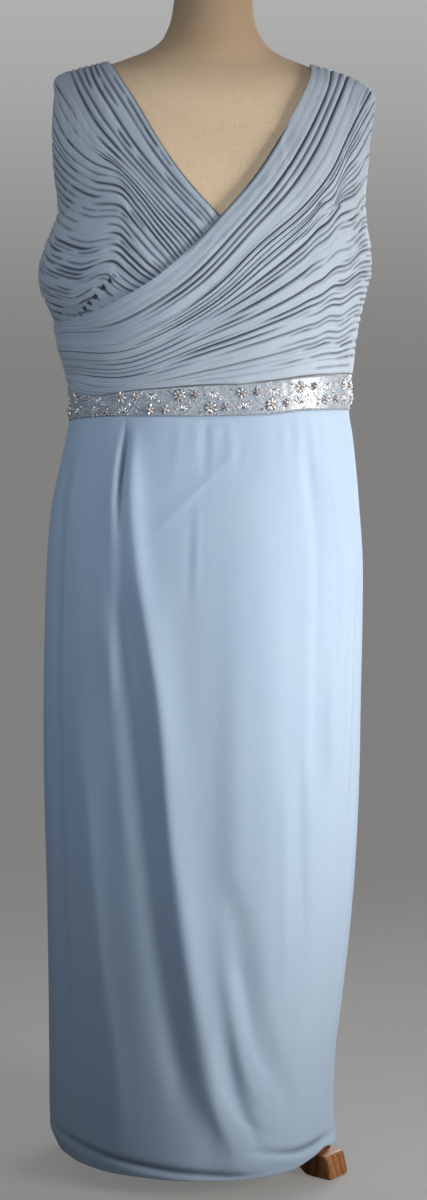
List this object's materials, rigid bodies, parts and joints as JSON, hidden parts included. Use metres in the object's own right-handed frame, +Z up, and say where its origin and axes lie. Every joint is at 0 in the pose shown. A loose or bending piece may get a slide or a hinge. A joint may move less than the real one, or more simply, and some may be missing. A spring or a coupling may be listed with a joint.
{
  "type": "evening gown on a dress form",
  "caption": "Sleeveless V-neck evening gown with a pleated wrap bodice, beaded waistband and full-length column skirt, on a limbless dress form with a wooden stand.",
  "frame": {"origin": "centre of the whole footprint, on the surface that the stand's feet rest on", "axes": "+Z up; the gown's front faces -Y; +X is on the viewer's right, which is the wearer's left"},
  "size_m": [0.4508, 0.4098, 1.6],
  "materials": {
    "chiffon": "matt, sheer crinkled weave over an opaque ground",
    "beaded_net": "net sewn all over with clear, silver and dark beads",
    "linen": "matt plain weave",
    "varnished_wood": "semi-gloss varnish"
  },
  "bodies": {
    "root": {"bodice_under": "chiffon", "bodice_over": "chiffon", "bodice_back_left": "chiffon", "bodice_back_right": "chiffon", "waistband_front": "beaded_net", "waistband_back": "beaded_net", "skirt_front": "chiffon", "skirt_back": "chiffon", "form_torso": "linen", "stand_pole": "varnished_wood", "stand_hub": "varnished_wood", "stand_leg_1": "varnished_wood", "stand_leg_2": "varnished_wood", "stand_leg_3": "varnished_wood"}
  },
  "joints": []
}
